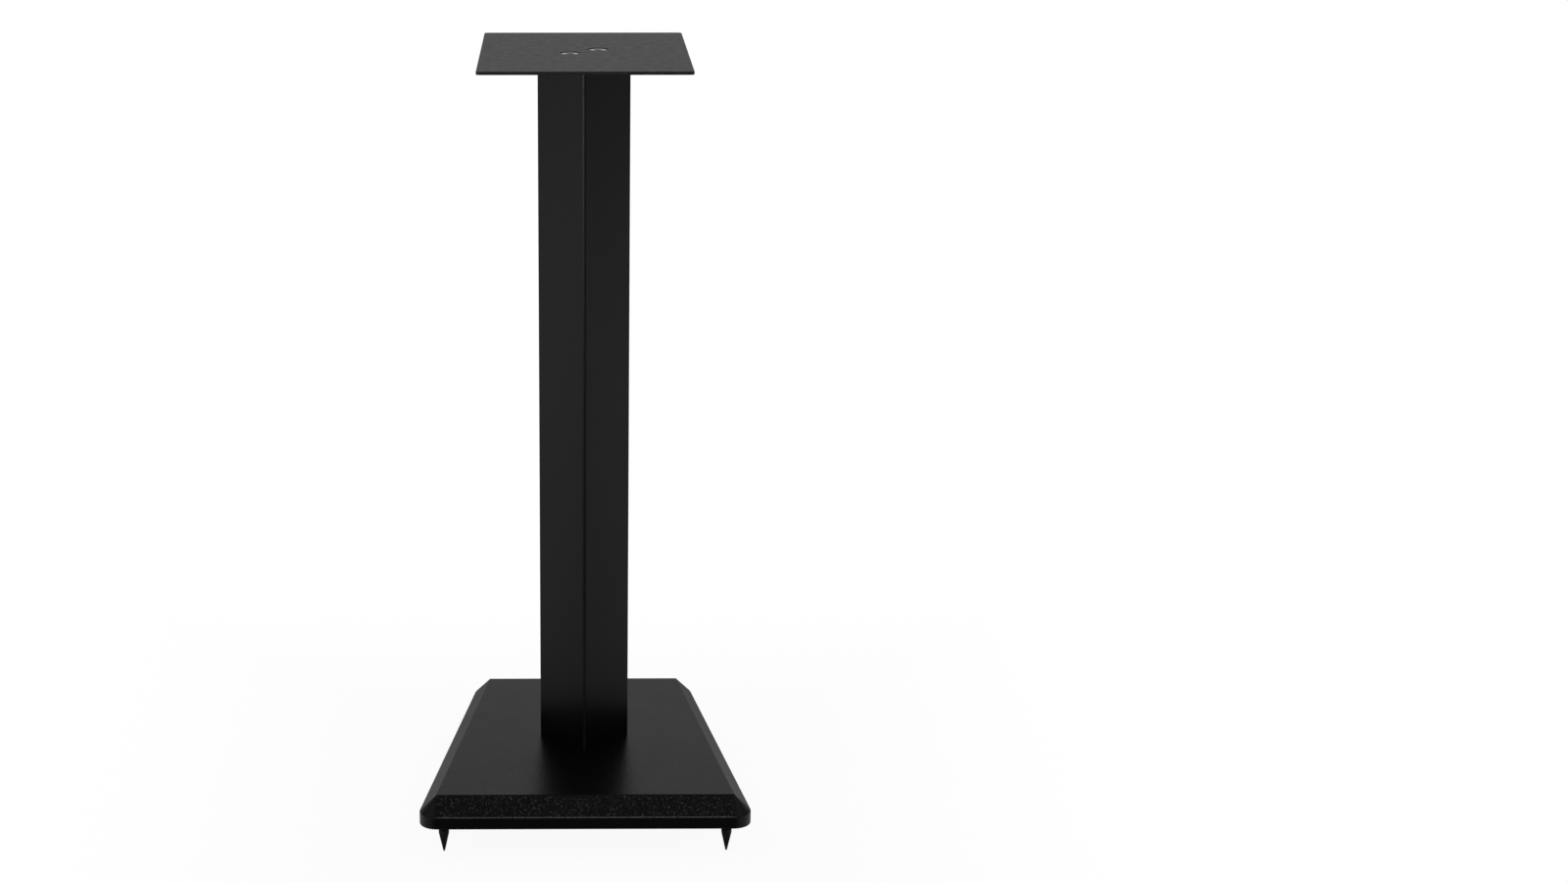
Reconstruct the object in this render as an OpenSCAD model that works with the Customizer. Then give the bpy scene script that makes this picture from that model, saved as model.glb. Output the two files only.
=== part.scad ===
// Speaker stand: a flat top plate on a square post turned to a diamond, carried by a bevelled
// base board that is wide at the front and narrow at the back, on four adjustable floor spikes.
// Millimetres. The front looks towards -Y, +Z is up, and the spike tips stand at Z = 0 with the
// post's axis at X = 0, Y = 0.

/* [Top plate] */
// Width of the top plate, side to side
plate_w = 156; // [120:1:220]
// Depth of the top plate, front to back
plate_d = 220; // [160:1:300]
// Thickness of the top plate
plate_t = 2.5; // [2:0.25:4]
// Radius of the top plate's corners
plate_corner_r = 2.5; // [1:0.5:10]

/* [Post] */
// Length of the square tube between the base board and the top plate
post_len = 549; // [300:1:900]
// Side of the square tube
post_side = 50.8; // [48:0.2:70]
// Wall of the square tube
post_wall = 1.5; // [1:0.25:2]
// Outside radius of the tube's corners
post_corner_r = 2; // [2:0.25:5]
// Turn of the post about its own axis, 45 showing a corner at the front
post_turn = 45; // [0:5:90]
// Thickness of the plates welded into the ends of the tube
end_plate_t = 4; // [3:0.5:6]
// Gap all round a welded end plate
end_plate_gap = 0.1; // [0.05:0.05:0.3]

/* [Screws] */
// Distance between the two screws at each end of the post
screw_pitch = 30; // [24:1:32]
// Thread diameter of the top screws and the base bolts
screw_d = 8; // [6:1:8]
// Clearance all round a screw in a plate or board that it passes through
screw_clear = 0.3; // [0.2:0.1:0.5]
// Running clearance all round a thread in its nut or insert
thread_gap = 0.05; // [0.03:0.01:0.1]
// Length of thread that shows past a weld nut
thread_end = 2.5; // [1:0.5:5]
// Diameter of a countersunk head at its flat face
csk_head_d = 14.6; // [13.5:0.1:16]
// Depth of a countersunk head below the plate's face
csk_recess = 0.5; // [0.2:0.1:0.8]
// Hexagon key size of the countersunk screws, across flats
csk_key = 5; // [3:0.5:5]
// Depth of the hexagon socket in a countersunk head
csk_key_depth = 2.6; // [1:0.2:3]
// Width of a weld nut, across flats
weld_nut_w = 13; // [11:0.5:14]
// Height of a weld nut
weld_nut_h = 6.5; // [4:0.5:8]
// Diameter of a base bolt's cylinder head
bolt_head_d = 13; // [12:0.5:15]
// Height of a base bolt's head
bolt_head_h = 8; // [4:0.5:9]
// Hexagon key size of the base bolts, across flats
bolt_key = 6; // [4:0.5:6]
// Depth of the hexagon socket in a base bolt
bolt_key_depth = 4; // [2:0.5:5]
// Outside diameter of the washer under a base bolt's head
washer_d = 16; // [15:0.5:18]
// Thickness of that washer
washer_t = 1.6; // [1:0.1:2]
// Clearance all round a washer in its counterbore
washer_clear = 1; // [0.5:0.25:1.5]
// Depth of a bolt head's face inside the board's underside
bolt_recess = 1; // [0.5:0.5:2]

/* [Base board] */
// Width of the base board along its front edge
base_front_w = 254; // [220:1:320]
// Width of the base board along its back edge
base_back_w = 185; // [160:1:254]
// Depth of the base board, front to back
base_d = 270; // [240:1:340]
// Height of the upright band round the board's foot
band_h = 10; // [7:0.5:20]
// Width of the bevel above the band, seen from above
bevel_w = 13; // [8:0.5:14]
// Height of that bevel
bevel_h = 13; // [11:0.5:18]

/* [Spikes] */
// Distance from each spike's axis to the board's front or back edge and to its side edge
spike_inset = 17.5; // [15:0.5:30]
// Thread diameter of the spikes
spike_d = 8; // [6:1:8]
// Length of the spike's straight shank that shows below the board
shank_show = 10; // [9.5:0.5:14]
// Length of the spike's cone
cone_len = 15.5; // [10:0.5:30]
// Diameter of the blunt end of the cone
tip_d = 1.2; // [0.6:0.1:2]
// Length that a spike can be turned in from where it stands here
spike_up = 5; // [2:0.5:5]
// Room left above a spike that is turned all the way in
spike_end_gap = 1; // [0.5:0.5:2]
// Wood left above a spike's hole
top_skin = 4; // [2:0.5:5]
// Outside diameter of a threaded insert's barrel
insert_d = 12; // [11:0.5:14]
// Diameter of an insert's flange
insert_flange_d = 16; // [15:0.5:18]
// Thickness of an insert's flange
insert_flange_t = 1.5; // [1:0.25:2.5]
// Gap all round an insert in its hole
insert_gap = 0.1; // [0.05:0.05:0.2]
// Width of a lock nut, across flats
lock_nut_w = 13; // [11:0.5:14]
// Height of a lock nut
lock_nut_h = 4; // [3:0.5:4]

/* [Hidden] */

// Segments in a full turn of every round shape, and sides of a hexagon
$fn = 48;
HEX = 6;
// Segments in a full turn of the board's round corners
CORNER_FN = 96;
// The two senses of a mirrored pair, and the names they stand for
PAIR = [-1, 1];
FRONT = -1;
BACK = 1;
LEFT = -1;
RIGHT = 1;
// Length by which a cut runs past the face that it opens
overrun = 1;

// Heights of the faces, from the floor up
board_t = band_h + bevel_h;
board_z = shank_show + cone_len;
post_z = board_z + board_t;
plate_z = post_z + post_len;
plate_top_z = plate_z + plate_t;

// The board's flat top: a trapezoid with sharp corners, one bevel's width inside the outline
flat_front_x = base_front_w / 2 - bevel_w;
flat_back_x = base_back_w / 2 - bevel_w;
flat_y = base_d / 2 - bevel_w;
FLAT = [
    [-flat_front_x, -flat_y],
    [flat_front_x, -flat_y],
    [flat_back_x, flat_y],
    [-flat_back_x, flat_y]
];
// Lean of the board's side edges from the front-to-back line
side_lean = atan((flat_front_x - flat_back_x) / (2 * flat_y));

// Inside of the tube, and the plates that fit there
tube_inside = post_side - 2 * post_wall;
tube_inside_r = max(post_corner_r - post_wall, 0);
end_plate_side = tube_inside - 2 * end_plate_gap;
end_plate_r = tube_inside_r + end_plate_gap;

// Holes and stacks along the screws
screw_hole_d = screw_d + 2 * screw_clear;
thread_bore_d = screw_d + 2 * thread_gap;
csk_mouth_d = csk_head_d + 2 * csk_recess;
csk_cone_h = (csk_head_d - screw_d) / 2;
csk_head_z = plate_top_z - csk_recess;
counterbore_d = washer_d + 2 * washer_clear;
counterbore_h = bolt_recess + bolt_head_h + washer_t;
bolt_head_z = board_z + bolt_recess;
washer_z = bolt_head_z + bolt_head_h;

// Spikes, inserts and their holes
insert_len = board_t - top_skin - spike_end_gap - spike_up;
spike_hole_h = board_t - top_skin;
spike_bore_d = spike_d + 2 * thread_gap;

// Half-width of the board at a depth y, on the line that runs a distance inside its side edge
function side_x(y, inside) =
    flat_front_x - (y + flat_y) * tan(side_lean) + (bevel_w - inside) / cos(side_lean);

// Rectangle centred on the origin, with round corners
module round_rect(w, d, r) {
    square([w - 2 * r, d], center = true);
    square([w, d - 2 * r], center = true);
    for (sx = PAIR, sy = PAIR)
        translate([sx * (w / 2 - r), sy * (d / 2 - r)])
            circle(r = r);
}

// Hexagonal prism given by its width across flats
module hex_prism(width, h) {
    cylinder(d = width / cos(180 / HEX), h = h, $fn = HEX);
}

// Hexagonal nut standing on Z = 0, with a plain round bore
module nut(width, h, bore_d) {
    difference() {
        hex_prism(width, h);
        translate([0, 0, -overrun])
            cylinder(d = bore_d, h = h + 2 * overrun);
    }
}

// Puts its children on the axis of the front or the back screw, on the post's middle line
module at_screw(end) {
    rotate([0, 0, post_turn])
        translate([end * screw_pitch / 2, 0, 0])
            children();
}

// Puts its children on a spike's axis, equally far from the board's two edges
module at_spike(end, side) {
    y = end * (base_d / 2 - spike_inset);
    translate([side * side_x(y, spike_inset), y, 0])
        children();
}

// The funnel that a countersunk head sits in, its mouth at the plate's face
module countersink() {
    cone_h = (csk_mouth_d - screw_hole_d) / 2;
    translate([0, 0, plate_top_z - cone_h])
        cylinder(d1 = screw_hole_d, d2 = csk_mouth_d, h = cone_h);
    translate([0, 0, plate_top_z])
        cylinder(d = csk_mouth_d, h = overrun);
}

module top_plate() {
    color([0.29, 0.29, 0.30])
        difference() {
            translate([0, 0, plate_z])
                linear_extrude(height = plate_t)
                    round_rect(plate_w, plate_d, plate_corner_r);
            for (end = PAIR)
                at_screw(end) {
                    translate([0, 0, plate_z - overrun])
                        cylinder(d = screw_hole_d, h = plate_t + 2 * overrun);
                    countersink();
                }
        }
}

// Countersunk screw from the plate's face down through the end plate and its weld nut
module top_screw(end) {
    shank_bottom_z = plate_z - end_plate_t - weld_nut_h - thread_end;
    color([0.13, 0.13, 0.14])
        at_screw(end)
            difference() {
                union() {
                    translate([0, 0, csk_head_z - csk_cone_h])
                        cylinder(d1 = screw_d, d2 = csk_head_d, h = csk_cone_h);
                    translate([0, 0, shank_bottom_z])
                        cylinder(d = screw_d, h = csk_head_z - csk_cone_h - shank_bottom_z);
                }
                translate([0, 0, csk_head_z - csk_key_depth])
                    hex_prism(csk_key, csk_key_depth + overrun);
            }
}

module post_tube() {
    color([0.14, 0.14, 0.15])
        rotate([0, 0, post_turn])
            translate([0, 0, post_z])
                linear_extrude(height = post_len)
                    difference() {
                        round_rect(post_side, post_side, post_corner_r);
                        round_rect(tube_inside, tube_inside, tube_inside_r);
                    }
}

// Square plate in an end of the tube, flush with that end
module end_plate(z) {
    rotate([0, 0, post_turn])
        translate([0, 0, z])
            linear_extrude(height = end_plate_t)
                round_rect(end_plate_side, end_plate_side, end_plate_r);
}

module upper_end_plate() {
    z = plate_z - end_plate_t;
    color([0.20, 0.20, 0.21])
        difference() {
            end_plate(z);
            for (end = PAIR)
                at_screw(end) {
                    translate([0, 0, z - overrun])
                        cylinder(d = screw_hole_d, h = end_plate_t + 2 * overrun);
                    countersink();
                }
        }
}

module lower_end_plate() {
    color([0.20, 0.20, 0.21])
        difference() {
            end_plate(post_z);
            for (end = PAIR)
                at_screw(end)
                    translate([0, 0, post_z - overrun])
                        cylinder(d = screw_hole_d, h = end_plate_t + 2 * overrun);
        }
}

module upper_weld_nut(end) {
    color([0.55, 0.55, 0.57])
        at_screw(end)
            translate([0, 0, plate_z - end_plate_t - weld_nut_h])
                nut(weld_nut_w, weld_nut_h, thread_bore_d);
}

module lower_weld_nut(end) {
    color([0.55, 0.55, 0.57])
        at_screw(end)
            translate([0, 0, post_z + end_plate_t])
                nut(weld_nut_w, weld_nut_h, thread_bore_d);
}

// The board without its holes. An upright cylinder stands under each sharp corner of the flat top,
// and the skin drawn over all four leaves a flat bevel on each side and a cone at each corner.
module board_blank() {
    hull() {
        linear_extrude(height = board_t)
            polygon(FLAT);
        for (corner = FLAT)
            translate(corner)
                cylinder(r = bevel_w, h = band_h, $fn = CORNER_FN);
    }
}

// Hole for a base bolt, its counterbore open to the underside
module base_bolt_hole() {
    translate([0, 0, -overrun])
        cylinder(d = counterbore_d, h = counterbore_h + overrun);
    translate([0, 0, -overrun])
        cylinder(d = screw_hole_d, h = board_t + 2 * overrun);
}

// Hole for a spike: a seat for the insert's flange, the insert's bore and the spike's own room
module spike_hole() {
    translate([0, 0, -overrun])
        cylinder(d = insert_flange_d + 2 * insert_gap, h = insert_flange_t + overrun);
    translate([0, 0, -overrun])
        cylinder(d = insert_d + 2 * insert_gap, h = insert_len + overrun);
    translate([0, 0, -overrun])
        cylinder(d = spike_d + 2 * screw_clear, h = spike_hole_h + overrun);
}

module base_board() {
    color([0.20, 0.20, 0.20])
        translate([0, 0, board_z])
            difference() {
                board_blank();
                for (end = PAIR)
                    at_screw(end)
                        base_bolt_hole();
                for (end = PAIR, side = PAIR)
                    at_spike(end, side)
                        spike_hole();
            }
}

module base_washer(end) {
    color([0.60, 0.60, 0.62])
        at_screw(end)
            translate([0, 0, washer_z])
                difference() {
                    cylinder(d = washer_d, h = washer_t);
                    translate([0, 0, -overrun])
                        cylinder(d = screw_hole_d, h = washer_t + 2 * overrun);
                }
}

// Cylinder-head bolt from the underside up through the board, the end plate and its weld nut
module base_bolt(end) {
    shank_top_z = post_z + end_plate_t + weld_nut_h + thread_end;
    color([0.13, 0.13, 0.14])
        at_screw(end)
            difference() {
                union() {
                    translate([0, 0, bolt_head_z])
                        cylinder(d = bolt_head_d, h = bolt_head_h);
                    translate([0, 0, washer_z])
                        cylinder(d = screw_d, h = shank_top_z - washer_z);
                }
                translate([0, 0, bolt_head_z - overrun])
                    hex_prism(bolt_key, bolt_key_depth + overrun);
            }
}

// Flanged threaded insert, let in flush with the board's underside
module insert(end, side) {
    color([0.60, 0.60, 0.62])
        at_spike(end, side)
            translate([0, 0, board_z])
                difference() {
                    union() {
                        cylinder(d = insert_flange_d, h = insert_flange_t);
                        cylinder(d = insert_d, h = insert_len);
                    }
                    translate([0, 0, -overrun])
                        cylinder(d = spike_bore_d, h = insert_len + 2 * overrun);
                }
}

// Thin nut that locks a spike against its insert's flange
module lock_nut(end, side) {
    color([0.30, 0.30, 0.31])
        at_spike(end, side)
            translate([0, 0, board_z - lock_nut_h])
                nut(lock_nut_w, lock_nut_h, spike_bore_d);
}

// Spike: a straight shank up into the insert and a slim cone down to a blunt tip
module spike(end, side) {
    color([0.11, 0.11, 0.12])
        at_spike(end, side) {
            cylinder(d1 = tip_d, d2 = spike_d, h = cone_len);
            translate([0, 0, cone_len])
                cylinder(d = spike_d, h = shank_show + insert_len);
        }
}

top_plate();
top_screw(FRONT);  // top_screw_front
top_screw(BACK);  // top_screw_back
post_tube();
upper_end_plate();
upper_weld_nut(FRONT);  // upper_weld_nut_front
upper_weld_nut(BACK);  // upper_weld_nut_back
lower_end_plate();
lower_weld_nut(FRONT);  // lower_weld_nut_front
lower_weld_nut(BACK);  // lower_weld_nut_back
base_board();
base_washer(FRONT);  // base_washer_front
base_washer(BACK);  // base_washer_back
base_bolt(FRONT);  // base_bolt_front
base_bolt(BACK);  // base_bolt_back
insert(FRONT, LEFT);  // insert_front_left
insert(FRONT, RIGHT);  // insert_front_right
insert(BACK, LEFT);  // insert_back_left
insert(BACK, RIGHT);  // insert_back_right
lock_nut(FRONT, LEFT);  // lock_nut_front_left
lock_nut(FRONT, RIGHT);  // lock_nut_front_right
lock_nut(BACK, LEFT);  // lock_nut_back_left
lock_nut(BACK, RIGHT);  // lock_nut_back_right
spike(FRONT, LEFT);  // spike_front_left
spike(FRONT, RIGHT);  // spike_front_right
spike(BACK, LEFT);  // spike_back_left
spike(BACK, RIGHT);  // spike_back_right
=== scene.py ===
from math import pi, radians, sqrt

import bmesh
import bpy
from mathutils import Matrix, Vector


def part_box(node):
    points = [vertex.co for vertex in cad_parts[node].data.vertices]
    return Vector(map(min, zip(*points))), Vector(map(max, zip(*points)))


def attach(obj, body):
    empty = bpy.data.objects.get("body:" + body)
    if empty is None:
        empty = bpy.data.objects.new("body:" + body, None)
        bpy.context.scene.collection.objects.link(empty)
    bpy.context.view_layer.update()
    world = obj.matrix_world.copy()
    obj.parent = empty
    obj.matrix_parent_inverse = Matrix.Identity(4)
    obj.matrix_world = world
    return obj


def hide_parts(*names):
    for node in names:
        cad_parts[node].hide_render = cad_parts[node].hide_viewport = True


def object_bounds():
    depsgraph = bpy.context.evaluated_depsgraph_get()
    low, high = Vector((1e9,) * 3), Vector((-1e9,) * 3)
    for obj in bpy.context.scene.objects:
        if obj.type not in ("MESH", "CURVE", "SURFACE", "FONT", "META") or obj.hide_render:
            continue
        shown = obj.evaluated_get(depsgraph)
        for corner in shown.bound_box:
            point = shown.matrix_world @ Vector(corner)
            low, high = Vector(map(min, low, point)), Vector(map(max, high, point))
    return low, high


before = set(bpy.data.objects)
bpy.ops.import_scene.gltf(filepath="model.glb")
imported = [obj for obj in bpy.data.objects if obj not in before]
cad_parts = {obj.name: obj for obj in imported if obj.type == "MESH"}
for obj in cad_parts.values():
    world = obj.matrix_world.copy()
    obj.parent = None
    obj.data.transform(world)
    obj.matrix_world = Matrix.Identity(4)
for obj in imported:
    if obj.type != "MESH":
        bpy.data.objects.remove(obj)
cad_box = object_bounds()

# A speaker stand: a flat plate on a square post, carried by a bevelled board on four floor spikes.
# Sizes and places are in metres. Z is up, the floor is z = 0 and the front of the stand faces -Y.

MM = 0.001


def levels(node):
    """Heights of a CAD node's underside and top."""
    low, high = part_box(node)
    return low.z, high.z


def middle(node):
    """Where a CAD node's upright axis stands on the floor plan."""
    low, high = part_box(node)
    return (low.x + high.x) / 2, (low.y + high.y) / 2


# Half the width and depth of the whole stand
REACH_ASIDE = cad_box[1].x
REACH_BACK = cad_box[1].y

# Top plate
PLATE_BOTTOM, PLATE_TOP = levels("top_plate")
PLATE_WIDTH = 156 * MM
PLATE_DEPTH = 220 * MM
PLATE_CORNER = 2.5 * MM
PLATE_CORNER_STEPS = 8
PLATE_EDGE = 0.45 * MM

# Post; the reach is from its axis to the rounded corners
POST_SIDE = 50.8 * MM
POST_WALL = 1.5 * MM
POST_CORNER = 2 * MM
POST_CORNER_STEPS = 10
POST_TURN = radians(45)
POST_REACH = POST_SIDE / sqrt(2) - POST_CORNER * (sqrt(2) - 1)

# Base board; the flat top is given by half its widths and half its depth
BOARD_BOTTOM, BOARD_TOP = levels("base_board")
BAND_HEIGHT = 10 * MM
BAND_TOP = BOARD_BOTTOM + BAND_HEIGHT
BEVEL_WIDTH = 13 * MM
FLAT_FRONT = 114 * MM
FLAT_BACK = 79.5 * MM
FLAT_DEPTH = 122 * MM
BOARD_EDGE = 0.6 * MM
# A corner's small top disc is only as wide as the edge, so its rounding stops short of the middle
BOARD_TOP_EDGE = 0.9 * BOARD_EDGE

# Holes from under the board
BOLT_HOLE = 8.6 * MM
BOLT_RECESS = 18 * MM
FLANGE_HOLE = 16.2 * MM
BARREL_HOLE = 12.2 * MM
SPIKE_HOLE_TOP = BOARD_TOP - 4 * MM

# Every thread is M8; the groove runs out past the rod's end and starts clear of its head
ROD_WIDTH = 8 * MM
THREAD_PITCH = 1.25 * MM
THREAD_ROOT = 3.25 * MM
THREAD_REACH = 4.06 * MM
THREAD_STEPS = 32
THREAD_RUN_OUT = 2 * MM
ROD_CHAMFER = 0.7 * MM
THREAD_BORE = 8.1 * MM

# Countersunk screws in the plate
SCREW_END, HEAD_LEVEL = levels("top_screw_front")
SCREW_HEAD = 14.6 * MM
SCREW_FACE = 13.2 * MM
SCREW_NECK = HEAD_LEVEL - (SCREW_HEAD - ROD_WIDTH) / 2
SCREW_THREAD_TOP = SCREW_NECK - 1.5 * MM
SOCKET_FLATS = 5 * MM
SOCKET_DEPTH = 2.6 * MM
SOCKET_MOUTH = 6.8 * MM
MOUTH_DEPTH = 0.3 * MM
HOLE_WIDTH = 8.6 * MM
SINK_MOUTH = 15.6 * MM
SINK_DEPTH = (SINK_MOUTH - HOLE_WIDTH) / 2

# Bolts and washers in the board
BOLT_BOTTOM, BOLT_TOP = levels("base_bolt_front")
WASHER_BOTTOM, WASHER_TOP = levels("base_washer_front")
WASHER_WIDTH = 16 * MM
WASHER_BORE = 9 * MM
WASHER_EDGE = 0.2 * MM
WASHER_EDGE_STEPS = 2
BOLT_HEAD = 13 * MM
BOLT_EDGE = 0.6 * MM
BOLT_SOCKET = 6 * MM
BOLT_SOCKET_DEPTH = 4 * MM

# Inserts in the board
INSERT_TOP = levels("insert_front_left")[1]
INSERT_BARREL = 12 * MM
INSERT_CHAMFER = 0.8 * MM
INSERT_FLANGE = 16 * MM
FLANGE_TOP = BOARD_BOTTOM + 1.5 * MM
FLANGE_EDGE = 0.3 * MM

# Lock nuts; the chamfer is cut by a bar wider than the nut's corners, the bore opens by a quarter
NUT_BOTTOM, NUT_TOP = levels("lock_nut_front_left")
NUT_WIDTH = 13 * MM
NUT_TURN = radians(30)
NUT_CHAMFER = 1 * MM
NUT_FACE = 12.2 * MM
NUT_ENVELOPE = 1.2 * NUT_WIDTH
BORE_FLARE = 1.25

# Spikes
SPIKE_TOP = levels("spike_front_left")[1]
CONE_TOP = 15.5 * MM
CONE_EDGE = 0.4 * MM
TIP_WIDTH = 1.2 * MM
TIP_EDGE = 0.25 * MM

SCREW_PLACES = {end: middle(f"top_screw_{end}") for end in ("front", "back")}
SPIKE_PLACES = {
    corner: middle(f"spike_{corner}")
    for corner in ("front_left", "front_right", "back_left", "back_right")
}

# How fine the shapes are: sides of round bars, segments of rounded edges, angles shaded smooth
ROUND = 96
HEXAGON = 6
EDGE_STEPS = 3
ONE_CHAMFER = 1
SMOOTH_ANGLE = radians(40)
BOARD_SMOOTH_ANGLE = radians(20)
NUT_SMOOTH_ANGLE = radians(25)
SAME_PLANE = radians(0.3)
ROUND_PROFILE = 0.5
FACE_WEIGHT = 100
TINY = 0.01 * MM
NEARLY_UPRIGHT = 0.99

# How far a cutting solid goes past the face that it opens
PAST = 1 * MM


# Modelling helpers


def let_go():
    """Leaves edit mode and deselects everything."""
    if bpy.context.mode != "OBJECT":
        bpy.ops.object.mode_set(mode="OBJECT")
    bpy.ops.object.select_all(action="DESELECT")


def take(piece):
    """Selects one piece alone and makes it the active one."""
    let_go()
    piece.select_set(True)
    bpy.context.view_layer.objects.active = piece


def edit(piece):
    """Opens one piece in edit mode with nothing selected."""
    take(piece)
    bpy.ops.object.mode_set(mode="EDIT")
    bpy.ops.mesh.select_all(action="DESELECT")


def settle(piece, name):
    """Names a new primitive and applies its place, turn and size to its mesh."""
    piece.name = name
    piece.data.name = name
    bpy.ops.object.transform_apply(location=True, rotation=True, scale=True)
    return piece


def block(name, width, depth, bottom, top, turn=0):
    """A rectangular block centred on the Z axis."""
    let_go()
    bpy.ops.mesh.primitive_cube_add(
        size=1,
        location=(0, 0, (bottom + top) / 2),
        rotation=(0, 0, turn),
        scale=(width, depth, top - bottom),
    )
    return settle(bpy.context.active_object, name)


def bar(name, width, bottom, top, place=(0, 0), sides=ROUND, turn=0):
    """A round or hexagonal bar that stands on end."""
    let_go()
    bpy.ops.mesh.primitive_cylinder_add(
        vertices=sides,
        radius=width / 2,
        depth=top - bottom,
        location=(*place, (bottom + top) / 2),
        rotation=(0, 0, turn),
    )
    return settle(bpy.context.active_object, name)


def hexagon_bar(name, flats, bottom, top, turn=0):
    """A hexagonal bar on the Z axis, its width given across its flats."""
    return bar(name, flats * 2 / sqrt(3), bottom, top, sides=HEXAGON, turn=turn)


def pick_edges(piece, wanted):
    """Selects the edges whose two ends satisfy wanted(a, b), in edit mode."""
    bpy.ops.mesh.select_all(action="DESELECT")
    bpy.ops.mesh.select_mode(type="EDGE")
    mesh = bmesh.from_edit_mesh(piece.data)
    for edge in mesh.edges:
        edge.select_set(wanted(edge.verts[0].co, edge.verts[1].co))
    bmesh.update_edit_mesh(piece.data)


def pick_faces(piece, wanted):
    """Selects the faces whose centre and normal satisfy wanted(centre, normal), in edit mode."""
    bpy.ops.mesh.select_all(action="DESELECT")
    bpy.ops.mesh.select_mode(type="FACE")
    mesh = bmesh.from_edit_mesh(piece.data)
    for face in mesh.faces:
        face.select_set(wanted(face.calc_center_median(), face.normal))
    bmesh.update_edit_mesh(piece.data)


def near(a, b):
    """Whether two lengths are the same."""
    return abs(a - b) < TINY


def upright(a, b):
    """An edge that stands straight up."""
    return (a - b).xy.length < TINY


def at_height(z):
    """Edges that lie level at one height."""
    return lambda a, b: near(a.z, z) and near(b.z, z)


def ring_at(width, z):
    """Edges of a circle of that width round the Z axis, at one height."""
    return lambda a, b: all(near(end.z, z) and near(end.xy.length, width / 2) for end in (a, b))


def ease(piece, wanted, size, steps=EDGE_STEPS):
    """Rounds the wanted edges of a piece, or chamfers them with a single step."""
    edit(piece)
    pick_edges(piece, wanted)
    bpy.ops.mesh.bevel(
        offset_type="OFFSET", offset=size, segments=steps, profile=ROUND_PROFILE, affect="EDGES"
    )
    let_go()


def draw_out(piece, upwards, distance, scale):
    """Extrudes the top or bottom face of a bar along Z and resizes its end."""
    edit(piece)
    heights = [corner.co.z for corner in piece.data.vertices]
    level = max(heights) if upwards else min(heights)
    pick_faces(
        piece, lambda centre, normal: near(centre.z, level) and abs(normal.z) > NEARLY_UPRIGHT
    )
    move = distance if upwards else -distance
    bpy.ops.mesh.extrude_region_move(TRANSFORM_OT_translate={"value": (0, 0, move)})
    bpy.ops.transform.resize(value=(scale, scale, 1))
    let_go()


def combine(piece, tool, operation):
    """Cuts, joins or trims a piece with a second solid, which is used up."""
    take(piece)
    change = piece.modifiers.new(operation.lower(), "BOOLEAN")
    change.operation = operation
    change.solver = "EXACT"
    change.object = tool
    bpy.ops.object.modifier_apply(modifier=change.name)
    discard(tool)


def cut(piece, *tools):
    """Takes solids out of a piece, one after the other."""
    for tool in tools:
        combine(piece, tool, "DIFFERENCE")


def smooth(piece, angle=SMOOTH_ANGLE):
    """Shades rounded edges smooth and keeps the flat faces flat."""
    take(piece)
    bpy.ops.object.shade_smooth_by_angle(angle=angle)
    weighted = piece.modifiers.new("even_normals", "WEIGHTED_NORMAL")
    weighted.keep_sharp = True
    weighted.weight = FACE_WEIGHT
    bpy.ops.object.modifier_apply(modifier=weighted.name)
    return piece


def copy_to(model, name, place):
    """A copy with its own mesh, moved across from the Z axis to its place."""
    take(model)
    bpy.ops.object.duplicate(linked=False)
    piece = bpy.context.active_object
    bpy.ops.transform.translate(value=(*place, 0))
    return settle(piece, name)


def discard(model):
    """Removes a solid that isn't needed any more."""
    bpy.data.meshes.remove(model.data)


def fit(piece, body, node, material):
    """Dresses a finished piece: what it rides on, what it stands for and its finish."""
    piece.data.materials.clear()
    piece.data.materials.append(material)
    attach(piece, body)
    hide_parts(node)


def thread_groove(bottom, top):
    """A helical V that cuts an M8 thread into a rod on the Z axis."""
    let_go()
    # An upright triangle with one corner towards the axis; its radius is two thirds of its height
    radius = (THREAD_REACH - THREAD_ROOT) * 2 / 3
    bpy.ops.mesh.primitive_circle_add(
        vertices=3,
        radius=radius,
        location=(THREAD_ROOT + radius, 0, bottom),
        rotation=(radians(90), radians(-90), 0),
    )
    groove = settle(bpy.context.active_object, "thread_groove")
    wind = groove.modifiers.new("wind", "SCREW")
    wind.axis = "Z"
    wind.angle = radians(360)
    wind.screw_offset = THREAD_PITCH
    wind.iterations = round((top - bottom) / THREAD_PITCH)
    wind.steps = THREAD_STEPS
    wind.render_steps = THREAD_STEPS
    bpy.ops.object.modifier_apply(modifier=wind.name)
    edit(groove)
    bpy.ops.mesh.select_all(action="SELECT")
    bpy.ops.mesh.fill_holes(sides=3)
    bpy.ops.mesh.select_all(action="SELECT")
    bpy.ops.mesh.normals_make_consistent(inside=False)
    let_go()
    return groove


# Material helpers

MIX_COLOURS_IN = slice(6, 8)
MIX_COLOUR_OUT = 2


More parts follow.
